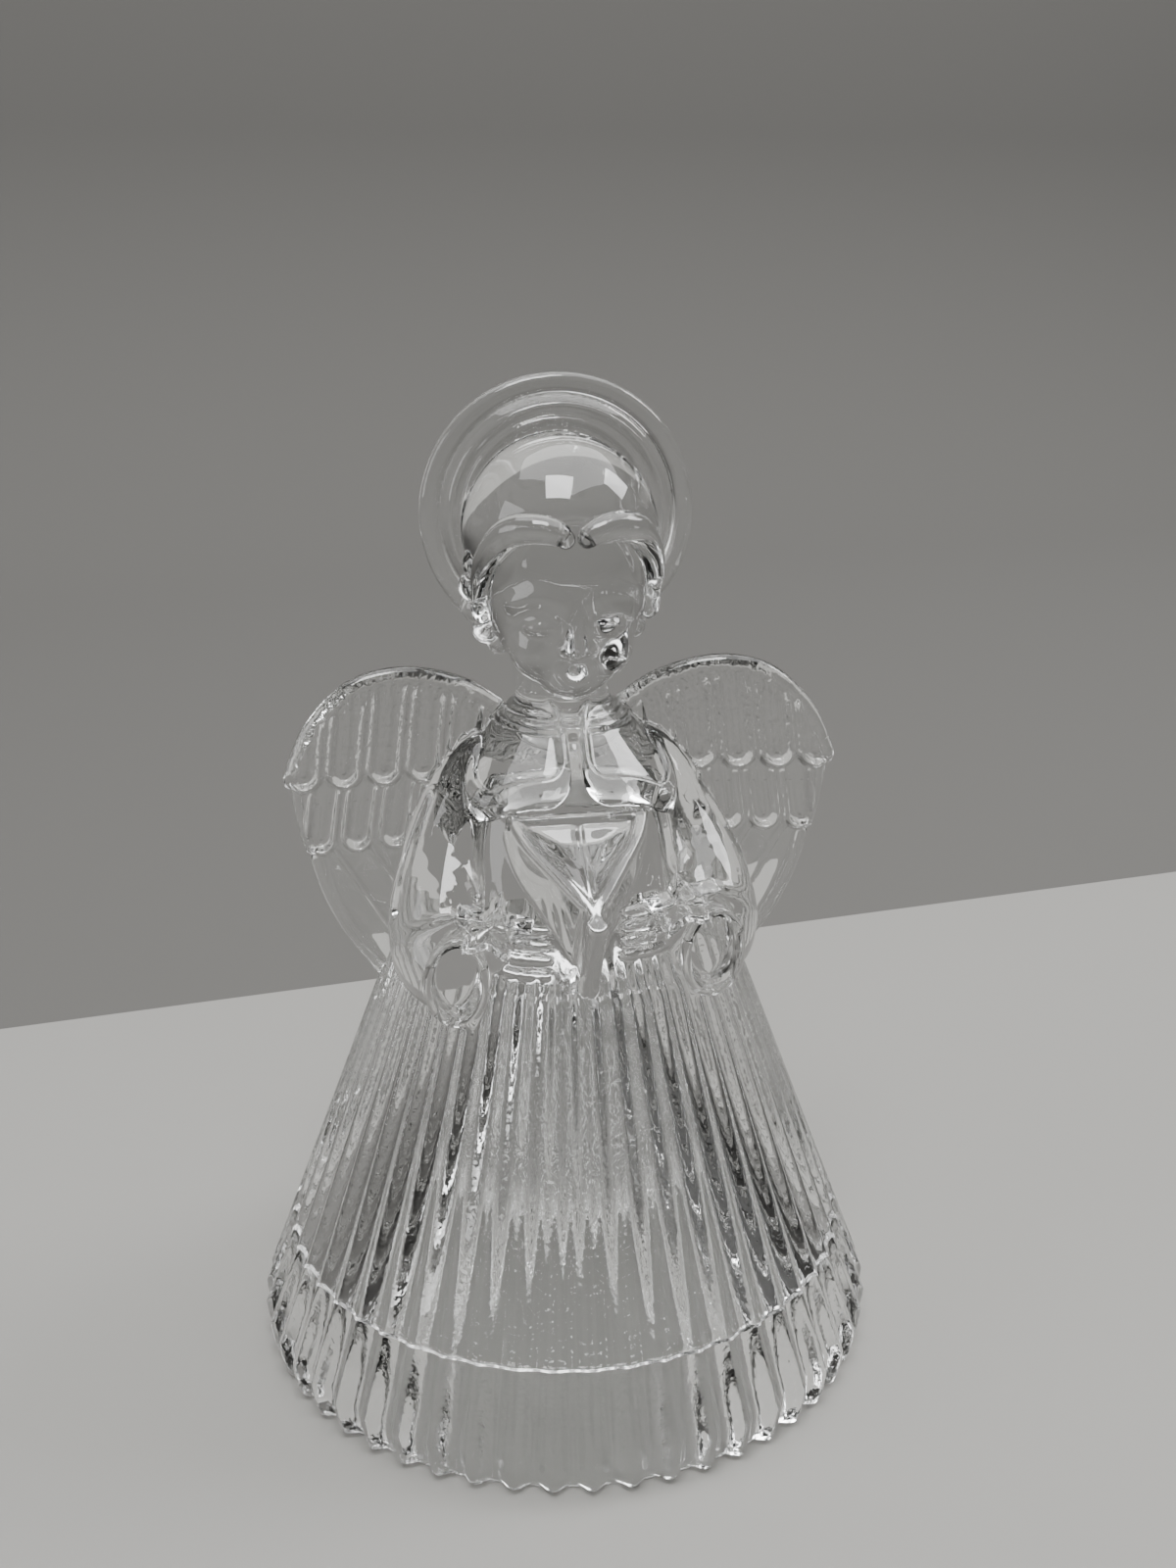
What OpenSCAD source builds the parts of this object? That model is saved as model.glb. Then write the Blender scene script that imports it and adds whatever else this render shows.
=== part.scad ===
// Pressed clear-glass angel: a hollow fluted skirt, a caped gown with bell sleeves, an open book
// held in both hands, feathered wings, a singing cherub head and a dished halo behind it.
// The glass is a single pressing. Each moulded form is its own solid and meets its neighbours
// face to face. +Z is up, the front faces -Y, and the origin is the centre of the foot.

/* [Skirt] */
// Number of ribs round the skirt
rib_count = 52; // [36:2:60]
// Radius over the ribs where the hem is widest
skirt_r = 42.4; // [41:0.2:44]
// Height of the fluted skirt above the table
skirt_h = 58; // [57:0.5:59]
// Radius over the ribs where the skirt meets the gown
waist_r = 22.6; // [22:0.1:23.4]
// Depth of the grooves between the ribs at the hem
groove_depth = 1.2; // [0.6:0.1:1.3]
// Height of the thick hem, and so the depth of the wide recess under it
hem_h = 15; // [13:0.5:17]
// Radius of the recess where it opens at the table
recess_r = 38.2; // [37.6:0.1:38.4]
// Radius of the hollow just above the hem
hollow_r = 35.5; // [34:0.5:35.5]
// Height of the top of the hollow
hollow_top = 56; // [52:0.5:57]

/* [Gown] */
// Height of the shoulders
shoulder_z = 84; // [83:0.5:85]
// Radius of the neck
neck_r = 6; // [5.5:0.1:6.4]
// Height of the top of the collar band
collar_z = 90; // [89.5:0.1:90.5]
// Distance from the centre to the front edge of the collar
collar_reach = 14; // [13:0.2:14.6]
// Width of the split down the front of the collar
collar_split = 1; // [0.6:0.1:1.6]
// Height of the oval cuff openings
cuff_h = 11; // [9:0.5:12]

/* [Book] */
// Half the width of the open book across its back corners
book_half_w = 9.5; // [8.5:0.1:10]
// Thickness of each cover
cover_t = 1.6; // [1.2:0.1:2]
// Length of the book along its spine
book_len = 13.7; // [12.5:0.1:14.5]
// Depth of the dish pressed into the pages
page_dish = 1.2; // [0.6:0.1:1.8]

/* [Head] */
// Height of the centre of the skull
skull_z = 110.5; // [110:0.1:111]
// Radius of the hair cap
hair_r = 12.4; // [12.1:0.1:12.8]
// Half the distance between the eyes
eye_x = 4.3; // [3.8:0.1:4.6]

/* [Halo] */
// Radius of the halo over its rim
halo_r = 17.5; // [16.5:0.1:18.5]
// Height of the centre of the halo
halo_z = 113.3; // [113:0.1:114]
// Thickness of the rim of the halo
halo_rim = 2.4; // [2:0.1:2.8]

/* [Wings] */
// Thickness of the lowest row of feathers
feather_t = 2.2; // [1.8:0.1:2.6]
// Radius of the raised top edge of each wing
wing_rim_r = 1.8; // [1.7:0.1:2.1]

/* [Hidden] */
glass = [0.80, 0.87, 0.88, 0.55];
side_left = -1;
side_right = 1;

// Skirt and hem
points_per_rib = 4;
ring_points = rib_count * points_per_rib;
widest_z = 6;
foot_h = 1;
foot_w = 1.2;
recess_top_r = 36.4;
hollow_top_r = 9;
hollow_dome_r = 4;
hollow_dome_h = 3;

// Gown sections: height, half width, half depth
gown_sections = [[skirt_h, waist_r - 0.4, waist_r - 0.6], [61, 21, 20.4], [64, 19.8, 18.6],
                 [67, 18.5, 16.9], [70, 17.2, 15.2], [73, 16, 13.9], [76, 14.8, 12.6],
                 [80, 13.4, 11.2], [shoulder_z, 12, 10], [87.4, 10.6, 9.2]];
slice = 0.02;

// Sleeve stations: centre, then half sizes
sleeve_stations = [[[9.5, -0.5, 82], [5, 5.4, 4.6]], [[11.4, -1.2, 79.6], [5.2, 5.8, 4.6]],
                   [[13.2, -2, 76.6], [5.3, 6.2, 4.8]], [[14.4, -3, 73.4], [5.8, 6.8, 4.8]],
                   [[15.3, -4.6, 70.2], [6.2, 7.6, 5]], [[16.2, -6.6, 66.6], [6.8, 8.4, 5.2]],
                   [[16.5, -8.6, 63], [6.9, 9, 5.4]], [[16.5, -10.2, 60.8], [6.6, 9, 5.6]],
                   [[16, -11.6, 59.2], [6, 8.4, 5]]];
cuff_center = [16.2, -19, 60.4];
cuff_half_w = 3.1;
cuff_lean = 10;
cuff_rim_r = 1.05;
cuff_depth = 4;
star_r = 4.2;
star_t = 1.6;
star_center = [11, -19.4, 68.2];
hand_center = [10.6, -15.8, 62.6];
finger_r = 0.85;
finger_pitch = 1.5;
finger_count = 4;
knuckle = [10.2, -16.4, 60.2];
fingertip = [5.2, -19.4, 60];

// Collar: the cape lies on a cone round the neck
collar_t = 1.7;
collar_top_z = 89;
collar_top_r = 7.6;
collar_drop_z = 82.6;
collar_drop_r = 14.2;
collar_corner = 3;
collar_gap = 0.05;
band_r = 8.6;
band_h = 2.6;

// Book, in its own leaning frame: the spine stands on the Y axis and the covers run back from it
book_lean = 30;
book_foot = [0, -20.9, 58.7];
book_depth = 15.9;
spine_r = 1.3;
page_border = 2.2;

// Head and hair
skull_r = 11;
face_y = -12;
mouth_z = 96.8;
eye_z = 102.2;
part_z = 114;

// Halo
halo_y = 4.4;
halo_dish = 1;

// Wings
wing_y = 4.6;
wing_sweep = -7;
covert_t = feather_t + 1;
secondary_t = feather_t + 0.5;
wing_top = [[8, 88], [13, 91.3], [20, 93.2], [26.6, 91.8], [31.6, 87.2], [34.4, 81]];
wing_tip = [[34.4, 81], [34, 76], [33.5, 73], [32.2, 68.5], [30.8, 64.5], [28.4, 59.5], [25, 54.6], [22, 50]];
wing_root = [[16, 56], [10.4, 70]];

// ---- curves and lofts ----

// A smooth curve through the points of a list
function spline(p, steps) = [for (i = [0:len(p) - 2], s = [0:steps - 1])
    let (t = s / steps, a = p[max(i - 1, 0)], b = p[i], c = p[i + 1], d = p[min(i + 2, len(p) - 1)])
    b + (t * (c - a) + t * t * (2 * a - 5 * b + 4 * c - d) + t * t * t * (3 * (b - c) + d - a)) / 2];

// Radius over the ribs at height z: round at the hem, then a straight cone to the waist
function skirt_radius(z) = z < widest_z
    ? skirt_r - 1.6 * pow(1 - z / widest_z, 2)
    : skirt_r - (skirt_r - waist_r) * (z - widest_z) / (skirt_h - widest_z);

// A level ring of points whose radius dips to a groove between ribs
function ribbed_ring(r, z) = [for (i = [0:ring_points - 1])
    let (a = 360 * i / ring_points, dip = groove_depth * r / skirt_r * (1 - abs(sin(a * rib_count / 2))))
    [(r - dip) * cos(a), (r - dip) * sin(a), z]];

function plain_ring(r, z) = [for (i = [0:ring_points - 1])
    let (a = 360 * i / ring_points) [r * cos(a), r * sin(a), z]];

// A solid skinned over rings of equal length, closed by caps or by joining last ring to first
module skin(rings, capped) {
    n = len(rings[0]);
    m = len(rings);
    sides = [for (k = [0:(capped ? m - 2 : m - 1)], i = [0:n - 1])
        [k * n + i, ((k + 1) % m) * n + i, ((k + 1) % m) * n + (i + 1) % n, k * n + (i + 1) % n]];
    caps = capped ? [[for (i = [0:n - 1]) i], [for (i = [n - 1:-1:0]) (m - 1) * n + i]] : [];
    polyhedron(points = [for (ring = rings, p = ring) p], faces = concat(sides, caps));
}

module ellipsoid(center, half, n = 20) {
    translate(center) scale(half) sphere(r = 1, $fn = n);
}

// A chain of hulls through consecutive ellipsoids
module chain(stations, n = 20) {
    for (i = [0:len(stations) - 2]) hull() {
        ellipsoid(stations[i][0], stations[i][1], n);
        ellipsoid(stations[i + 1][0], stations[i + 1][1], n);
    }
}

// Mirrors a form made on the right so that it serves both sides
module on_side(side) {
    mirror([side == side_left ? 1 : 0, 0, 0]) children();
}

// ---- skirt ----

module foot_ring() {
    color(glass) rotate_extrude($fn = 96)
        translate([recess_r, 0]) square([foot_w, foot_h]);
}

module hem() {
    outer = [for (z = [foot_h, 3, widest_z, 10, hem_h]) ribbed_ring(skirt_radius(z), z)];
    inner = [plain_ring(recess_top_r, hem_h), plain_ring(recess_r, foot_h)];
    color(glass) skin(concat(outer, inner), false);
}

module skirt() {
    hollow = [plain_ring(hollow_dome_r, hollow_top), plain_ring(hollow_top_r, hollow_top - hollow_dome_h),
              plain_ring(hollow_r, hem_h)];
    outer = [for (z = [hem_h, 36, skirt_h]) ribbed_ring(skirt_radius(z), z)];
    color(glass) skin(concat(hollow, outer), true);
}

// Everything under the ribs' tips, which the sleeves, wings and book are cut back to
module skirt_clearance() {
    cylinder(r1 = skirt_radius(hem_h) + (skirt_radius(hem_h) - waist_r) * hem_h / (skirt_h - hem_h),
             r2 = waist_r, h = skirt_h, $fn = 96);
}

// ---- gown ----

module gown_slice(section) {
    translate([0, 0, section[0]]) scale([section[1], section[2], 1]) cylinder(r = 1, h = slice, $fn = 40);
}

module gown_form() {
    intersection() {
        union() for (i = [0:len(gown_sections) - 2]) hull() {
            gown_slice(gown_sections[i]);
            gown_slice(gown_sections[i + 1]);
        }
        under_collar();
    }
}

module neck_form() {
    translate([0, 0, collar_top_z - 2]) cylinder(r = neck_r, h = 9, $fn = 48);
}

// The cone shell on which the cape lies, t thick, standing on the gown
module collar_shell(t) {
    rotate_extrude($fn = 72) polygon([
        [collar_top_r, collar_top_z - t], [collar_drop_r, collar_drop_z - t],
        [collar_drop_r, collar_drop_z], [collar_top_r, collar_top_z]]);
}

// Plan of the right lobe: square shoulders, and a rounded corner at the split
module collar_plan() {
    hull() {
        translate([collar_split / 2 + collar_corner, -collar_reach + collar_corner])
            circle(r = collar_corner, $fn = 32);
        translate([collar_split / 2, -2]) square([12, 4]);
        translate([9.5, -9.5]) circle(r = 2, $fn = 32);
        translate([12.2, -0.6]) circle(r = 1.4, $fn = 32);
        translate([6, 6.5]) circle(r = 2, $fn = 32);
    }
}

// Everything on and above the underside of the cape, which the sleeves and wings are cut back to
module collar_clearance() {
    difference() {
        translate([0, 0, collar_drop_z - 4]) linear_extrude(height = 14) {
            collar_plan();
            mirror([1, 0, 0]) collar_plan();
        }
        translate([0, 0, -collar_gap]) under_collar();
    }
}

// The cone below the cape, which also shapes the top of the gown
module under_collar() {
    rise = (collar_top_z - collar_drop_z) / (collar_drop_r - collar_top_r);
    top_z = collar_top_z - collar_t;
    rotate_extrude($fn = 72) polygon([
        [0, skirt_h - 1], [1.2 * waist_r, skirt_h - 1],
        [1.2 * waist_r, top_z - rise * (1.2 * waist_r - collar_top_r)], [collar_top_r, top_z], [0, top_z]]);
}

module collar_half(side) {
    color(glass) on_side(side) difference() {
        intersection() {
            collar_shell(collar_t);
            translate([0, 0, collar_drop_z - 4]) linear_extrude(height = 12) collar_plan();
        }
        band_form();
    }
}

module band_form() {
    translate([0, 0, collar_z - band_h]) difference() {
        cylinder(r = band_r, h = band_h, $fn = 72);
        cylinder(r = neck_r, h = band_h, $fn = 48);
    }
}

module bodice() {
    color(glass) difference() {
        gown_form();
        neck_form();
    }
}

module neck() {
    color(glass) difference() {
        neck_form();
        head_form();
    }
}

module collar_band() {
    color(glass) band_form();
}

// ---- sleeves and hands ----

module cuff_frame() {
    translate(cuff_center) rotate([cuff_lean, 0, 0]) children();
}

function cuff_oval(grow, n) = [for (i = [0:n - 1])
    let (a = 360 * i / n) [(cuff_half_w + grow) * cos(a), (cuff_h / 2 + grow) * sin(a)]];

// The pocket inside the cuff, running back into the sleeve
module cuff_pocket() {
    cuff_frame() rotate([90, 0, 0]) translate([0, 0, -cuff_depth])
        linear_extrude(height = cuff_depth + 4) polygon(cuff_oval(-0.4, 18));
}

module cuff_form() {
    n = 28;
    oval = cuff_oval(0, n);
    rings = [for (i = [0:n - 1]) let (a = 360 * i / n)
        [for (b = [0:36:324]) let (g = cuff_rim_r * cos(b))
            [oval[i][0] + g * cos(a), cuff_rim_r * sin(b), oval[i][1] + g * sin(a)]]];
    cuff_frame() skin(rings, false);
}

module sleeve(side) {
    color(glass) on_side(side) difference() {
        chain(sleeve_stations);
        gown_form();
        skirt_clearance();
        collar_clearance();
        cuff_pocket();
        cuff_form();
        book_block();
    }
}

module cuff(side) {
    color(glass) on_side(side) cuff_form();
}

function star_points(r, inner) = [for (i = [0:9])
    let (a = 90 + 36 * i, q = i % 2 == 0 ? r : r * inner) [q * cos(a), q * sin(a)]];

module star_form() {
    translate(star_center) rotate([0, 0, 12]) rotate([90, 14, 0])
        linear_extrude(height = star_t) polygon(star_points(star_r, 0.45));
}

module star(side) {
    color(glass) on_side(side) difference() {
        star_form();
        chain(sleeve_stations);
        cuff_form();
        book_block();
    }
}

module hand_form() {
    ellipsoid(hand_center, [2.6, 2.6, 3.4]);
    for (i = [0:finger_count - 1]) hull() {
        translate(knuckle + [0, 0, i * finger_pitch]) sphere(r = finger_r, $fn = 10);
        translate(fingertip + [0, 0, i * finger_pitch]) sphere(r = finger_r * 0.85, $fn = 10);
    }
}

module hand(side) {
    color(glass) on_side(side) difference() {
        hand_form();
        chain(sleeve_stations);
        cuff_form();
        star_form();
        gown_form();
        skirt_clearance();
        book_block();
    }
}

// ---- book ----

module book_frame() {
    translate(book_foot) rotate([book_lean, 0, 0]) children();
}

// Plan of the open book, inset from its outer faces: a wedge that widens towards the gown
module book_plan(inset) {
    slope = book_half_w / book_depth;
    intersection() {
        polygon([[0, inset], [slope * (2 * book_depth - inset), 2 * book_depth],
                 [slope * (inset - 2 * book_depth), 2 * book_depth]]);
        translate([-book_half_w, 0]) square([2 * book_half_w, book_depth + 4]);
    }
}

// The whole wedge of the open book, which the hands and sleeves are cut back to
module book_block() {
    book_frame() {
        linear_extrude(height = book_len) book_plan(0);
        cylinder(r = spine_r, h = book_len, $fn = 32);
    }
}

module book_pages() {
    color(glass) difference() {
        book_frame() linear_extrude(height = book_len) book_plan(cover_t * 1.6);
        gown_form();
        book_frame() translate([0, book_depth * 0.62, book_len + 2])
            scale([book_half_w - page_border, book_depth * 0.36, page_dish + 2]) sphere(r = 1, $fn = 32);
    }
}

module book_cover(side) {
    color(glass) on_side(side) difference() {
        book_frame() linear_extrude(height = book_len) difference() {
            intersection() {
                book_plan(0);
                square([book_half_w, book_depth + 1]);
            }
            book_plan(cover_t * 1.6);
            circle(r = spine_r, $fn = 32);
        }
        gown_form();
        skirt_clearance();
    }
}

module book_spine() {
    color(glass) difference() {
        book_frame() cylinder(r = spine_r, h = book_len, $fn = 32);
        gown_form();
        skirt_clearance();
    }
}

// ---- head and hair ----

module head_form() {
    chain([[[0, 0, skull_z], [skull_r, skull_r, skull_r]], [[0, -1.2, 106], [10, 10.4, 9]],
           [[0, -2.6, 102.6], [9.2, 9, 7]], [[0, -3.4, 99.8], [7.8, 8, 6]],
           [[0, -5.4, 96.6], [5.2, 5.4, 3.6]]]);
    // Nose, brow and cheeks
    hull() {
        translate([0, face_y + 1.2, 104.6]) sphere(r = 0.8, $fn = 12);
        translate([0, face_y - 0.6, 99.9]) sphere(r = 1.2, $fn = 12);
    }
    for (s = [side_left, side_right]) {
        hull() {
            ellipsoid([s * 2.2, face_y + 2.2, 105.2], [1.4, 1, 0.8], 12);
            ellipsoid([s * 6.2, face_y + 3.8, 105], [1.4, 1, 0.8], 12);
        }
        ellipsoid([s * eye_x, face_y + 2.4, eye_z], [1.9, 1.2, 1.3], 16);
        ellipsoid([s * 4.2, face_y + 4, 98.8], [2.6, 2.6, 2.8], 16);
    }
    // Round singing mouth
    translate([0, face_y + 1.6, mouth_z]) rotate([80, 0, 0])
        rotate_extrude($fn = 24) translate([1.5, 0]) circle(r = 0.75, $fn = 12);
    ellipsoid([0, face_y + 3, mouth_z], [2.6, 1.8, 2.4], 16);
}

module head() {
    color(glass) head_form();
}

module hair_form() {
    difference() {
        union() {
            ellipsoid([0, 1, skull_z + 0.6], [hair_r, hair_r, hair_r + 0.4], 28);
            // Fringe swept from the centre parting to each temple
            for (s = [side_left, side_right]) chain([
                [[s * 0.9, -9.6, part_z + 0.6], [1.6, 1.8, 1.8]], [[s * 3.8, -9.8, part_z + 1.4], [1.9, 2, 1.8]],
                [[s * 7.2, -8, part_z], [2, 2.2, 2]], [[s * 9.8, -5, part_z - 4], [1.8, 2.2, 2.6]]], 12);
            // Locks combed down the back of the head
            for (x = [-6:3:6]) hull() {
                ellipsoid([x, 9.4, 114], [1.7, 1.6, 3], 8);
                ellipsoid([x * 0.8, 7.6, 101], [1.5, 1.5, 3], 8);
            }
        }
        // Bare face below the fringe
        ellipsoid([0, -13.6, part_z - 11.5], [9.4, 12, 13], 24);
    }
}

module hair() {
    color(glass) difference() {
        hair_form();
        head_form();
    }
}

// Ear and curls on each side, from the temple down to the nape
module curls_form() {
    stations = [[[11, -2, 108.6], [1.8, 2, 1.9]], [[11.3, 0, 105.4], [1.7, 2, 1.9]],
                [[10.6, 1.4, 102.2], [1.9, 2, 1.9]], [[9.4, 2.4, 99.2], [1.7, 2, 1.7]]];
    for (s = stations) ellipsoid(s[0], s[1], 12);
    chain([for (s = stations) [s[0], s[1] * 0.8]], 8);
}

module curls(side) {
    color(glass) on_side(side) difference() {
        curls_form();
        hair_form();
        head_form();
    }
}

// ---- halo ----

module halo_frame() {
    translate([0, halo_y, halo_z]) rotate([90, 0, 0]) children();
}

module halo_form() {
    halo_frame() translate([0, 0, -halo_rim / 2]) cylinder(r = halo_r, h = halo_rim, $fn = 72);
}

// The head, hair and curls, which pass through the halo
module halo_clearance() {
    head_form();
    hair_form();
    neck_form();
    curls_form();
    mirror([1, 0, 0]) curls_form();
}

module halo_disc() {
    color(glass) difference() {
        halo_frame() translate([0, 0, -halo_rim / 2])
            cylinder(r = halo_r - halo_rim, h = halo_rim - halo_dish, $fn = 72);
        halo_clearance();
    }
}

module halo_ring() {
    color(glass) difference() {
        halo_frame() rotate_extrude($fn = 72)
            translate([halo_r - halo_rim, -halo_rim / 2]) square(halo_rim);
        halo_clearance();
    }
}

// ---- wings ----

wing_outline = concat(spline(wing_top, 6), spline(wing_tip, 3), wing_root);

module wing_frame() {
    translate([0, wing_y, 0]) rotate([0, 0, wing_sweep]) rotate([90, 0, 0]) children();
}

module wing_body_clearance() {
    gown_form();
    skirt_clearance();
    collar_clearance();
    band_form();
    neck_form();
}

// A row of feathers with rounded tips, each a little wider than the step between them
module feather_row(tips, step) {
    r = 0.53 * step;
    for (p = tips) hull() {
        translate(p) circle(r = r, $fn = 20);
        translate(p + [-3, 30]) circle(r = r, $fn = 20);
    }
}

covert_step = 5.1;
secondary_step = 4.8;
covert_tips = [for (i = [0:4]) [12.9 + covert_step * i, 82]];
secondary_tips = [for (i = [0:4]) [12.4 + secondary_step * i, 73]];

module coverts_plan() {
    intersection() {
        polygon(wing_outline);
        union() {
            feather_row(covert_tips, covert_step);
            translate([10.4, 82]) square([30, 20]);
        }
    }
}

module secondaries_plan() {
    intersection() {
        polygon(wing_outline);
        union() {
            feather_row(secondary_tips, secondary_step);
            translate([0, 74]) square([40, 20]);
        }
    }
}

module wing_rim_form() {
    edge = spline(wing_top, 2);
    wing_frame() translate([0, 0, covert_t / 2]) for (i = [0:len(edge) - 2]) hull() {
        translate([edge[i][0], edge[i][1], 0]) sphere(r = wing_rim_r, $fn = 12);
        translate([edge[i + 1][0], edge[i + 1][1], 0]) sphere(r = wing_rim_r, $fn = 12);
    }
}

module wing_rim(side) {
    color(glass) on_side(side) difference() {
        wing_rim_form();
        wing_body_clearance();
        halo_form();
    }
}

module coverts(side) {
    color(glass) on_side(side) difference() {
        wing_frame() linear_extrude(height = covert_t) coverts_plan();
        wing_rim_form();
        chain(sleeve_stations);
        wing_body_clearance();
    }
}

module secondaries(side) {
    color(glass) on_side(side) difference() {
        wing_frame() linear_extrude(height = secondary_t) difference() {
            secondaries_plan();
            coverts_plan();
        }
        wing_rim_form();
        chain(sleeve_stations);
        wing_body_clearance();
    }
}

module primaries(side) {
    color(glass) on_side(side) difference() {
        wing_frame() linear_extrude(height = feather_t) difference() {
            polygon(wing_outline);
            secondaries_plan();
            coverts_plan();
        }
        wing_rim_form();
        chain(sleeve_stations);
        wing_body_clearance();
    }
}

foot_ring();
hem();
skirt();
bodice();
neck();
collar_band();
collar_half(side_left);  // collar_left
collar_half(side_right);  // collar_right
sleeve(side_left);  // sleeve_left
sleeve(side_right);  // sleeve_right
cuff(side_left);  // cuff_left
cuff(side_right);  // cuff_right
star(side_left);  // star_left
star(side_right);  // star_right
hand(side_left);  // hand_left
hand(side_right);  // hand_right
book_pages();
book_cover(side_left);  // book_cover_left
book_cover(side_right);  // book_cover_right
book_spine();
head();
hair();
curls(side_left);  // curls_left
curls(side_right);  // curls_right
halo_disc();
halo_ring();
wing_rim(side_left);  // wing_rim_left
wing_rim(side_right);  // wing_rim_right
coverts(side_left);  // coverts_left
coverts(side_right);  // coverts_right
secondaries(side_left);  // secondaries_left
secondaries(side_right);  // secondaries_right
primaries(side_left);  // primaries_left
primaries(side_right);  // primaries_right
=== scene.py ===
"""Looks of a pressed crystal glass angel.

The figure is one pressing, so its forms are melted together on a grid, meshed once, and then
shared out among the CAD nodes. Neighbouring pieces meet in faces that let light straight through,
which keeps the glass clear inside. The glass is worked out in millimetres and turned into metres
when its meshes are made. The camera, the floor, the backdrop and the lights are placed in metres.
"""
import math

import bpy
import numpy as np
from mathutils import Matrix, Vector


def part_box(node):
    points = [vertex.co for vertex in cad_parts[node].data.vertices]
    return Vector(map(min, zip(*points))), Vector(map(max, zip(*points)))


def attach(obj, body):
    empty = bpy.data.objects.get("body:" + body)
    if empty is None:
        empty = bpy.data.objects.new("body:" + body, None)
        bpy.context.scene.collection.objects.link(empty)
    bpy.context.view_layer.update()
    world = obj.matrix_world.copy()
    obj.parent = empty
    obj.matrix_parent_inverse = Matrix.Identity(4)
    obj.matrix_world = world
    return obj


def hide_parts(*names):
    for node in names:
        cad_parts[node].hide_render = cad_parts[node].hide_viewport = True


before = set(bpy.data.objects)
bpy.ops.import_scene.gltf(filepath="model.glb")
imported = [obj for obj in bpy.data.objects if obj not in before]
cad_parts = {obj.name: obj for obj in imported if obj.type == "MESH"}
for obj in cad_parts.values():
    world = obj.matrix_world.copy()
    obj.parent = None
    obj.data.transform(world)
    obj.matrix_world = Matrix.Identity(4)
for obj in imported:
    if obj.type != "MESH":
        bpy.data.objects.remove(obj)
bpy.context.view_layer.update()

MM = 0.001
GRID_STEP = 0.28
AIR = 6.0
RIGHT, LEFT = 1, -1


def box(node):
    """The lowest and highest corners of a CAD node, in millimetres."""
    low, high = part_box(node)
    return np.array(low) / MM, np.array(high) / MM


def center(node):
    low, high = box(node)
    return (low + high) / 2


# ---- camera, floor and light ----

FLOOR_TONE = (0.205, 0.202, 0.191)
BACKDROP_TONE = (0.072, 0.07, 0.066)
CAMERA_AT = (-0.03084, -0.21539, 0.15288)
CAMERA_DOWN, CAMERA_TURN = 18.85, -9
LIGHT_AIM = (0, 0, 0.07)
GLASS_BOUNCES, CLEAR_BOUNCES = 24, 64


def make_camera():
    camera = bpy.data.cameras.new("camera")
    camera.sensor_fit = "AUTO"
    camera.sensor_width = 36
    camera.lens = 40.5
    camera.clip_start = 0.01
    holder = bpy.data.objects.new("camera", camera)
    holder.location = CAMERA_AT
    holder.rotation_euler = (math.radians(90 - CAMERA_DOWN), 0, math.radians(CAMERA_TURN))
    bpy.context.scene.collection.objects.link(holder)
    bpy.context.scene.camera = holder


def principled(name, **sockets):
    """A material with a Principled shader whose sockets are set by name."""
    material = bpy.data.materials.new(name)
    material.use_nodes = True
    shader = material.node_tree.nodes["Principled BSDF"]
    for socket, value in sockets.items():
        shader.inputs[socket.replace("_", " ")].default_value = value
    return material


def make_sheet(name, profile, half, tone, turn=0.0):
    """A plain matt sheet for the floor or the backdrop: a profile run along X and then turned."""
    points = [(x, y, z) for y, z in profile for x in (-half, half)]
    faces = [(2 * i, 2 * i + 1, 2 * i + 3, 2 * i + 2) for i in range(len(profile) - 1)]
    mesh = bpy.data.meshes.new(name)
    mesh.from_pydata(points, [], faces, shade_flat=False)
    mesh.materials.append(principled(name, Base_Color=(*tone, 1), Roughness=0.9))
    sheet = bpy.data.objects.new(name, mesh)
    sheet.rotation_euler = (0, 0, math.radians(turn))
    bpy.context.scene.collection.objects.link(sheet)


def make_floor():
    """A plain pale floor, and a grey backdrop that starts close behind the figure, runs back low
    enough to leave the view from behind open, and then sweeps up."""
    half, start_y, low_run, bend = 4, 0.115, 0.2, 0.16
    arc_y, arc_z = start_y + low_run, 0.03
    arc = [(arc_y + bend * math.sin(t), arc_z + bend * (1 - math.cos(t)))
           for t in np.linspace(0.1, 1.45, 14)]
    top = (arc[-1][0] + 0.1, arc[-1][1] + 1.2)
    make_sheet("pale_floor", [(-half, 0.0), (arc_y, 0.0)], half, FLOOR_TONE)
    make_sheet("backdrop", [(start_y, 0.0)] + arc + [top], half, BACKDROP_TONE, turn=9)


def make_light(name, location, size, power):
    """A square lamp that faces the figure."""
    lamp = bpy.data.lights.new(name, "AREA")
    lamp.size = size
    lamp.energy = power
    holder = bpy.data.objects.new(name, lamp)
    holder.location = location
    direction = np.array(LIGHT_AIM) - np.array(location)
    yaw = math.atan2(direction[0], -direction[1])
    pitch = math.atan2(math.hypot(direction[0], direction[1]), -direction[2])
    holder.rotation_euler = (pitch, 0, yaw + math.pi)
    bpy.context.scene.collection.objects.link(holder)


def make_studio():
    world = bpy.data.worlds.new("studio")
    world.use_nodes = True
    background = world.node_tree.nodes["Background"]
    background.inputs["Color"].default_value = (0.60, 0.60, 0.59, 1)
    background.inputs["Strength"].default_value = 0.16
    bpy.context.scene.world = world
    make_light("window", (-0.07, -0.33, 0.78), size=0.36, power=9)
    make_light("overhead", (0.12, 0.13, 0.9), size=1.2, power=18)
    make_light("side", (0.6, 0.05, 0.6), size=0.3, power=4)
    make_light("fill", (-0.8, -0.25, 0.35), size=0.5, power=3)
    bpy.context.scene.cycles.max_bounces = GLASS_BOUNCES
    bpy.context.scene.cycles.transmission_bounces = GLASS_BOUNCES
    bpy.context.scene.cycles.transparent_max_bounces = CLEAR_BOUNCES


# ---- materials ----

WAVE_SIZE = 5.0


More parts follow.
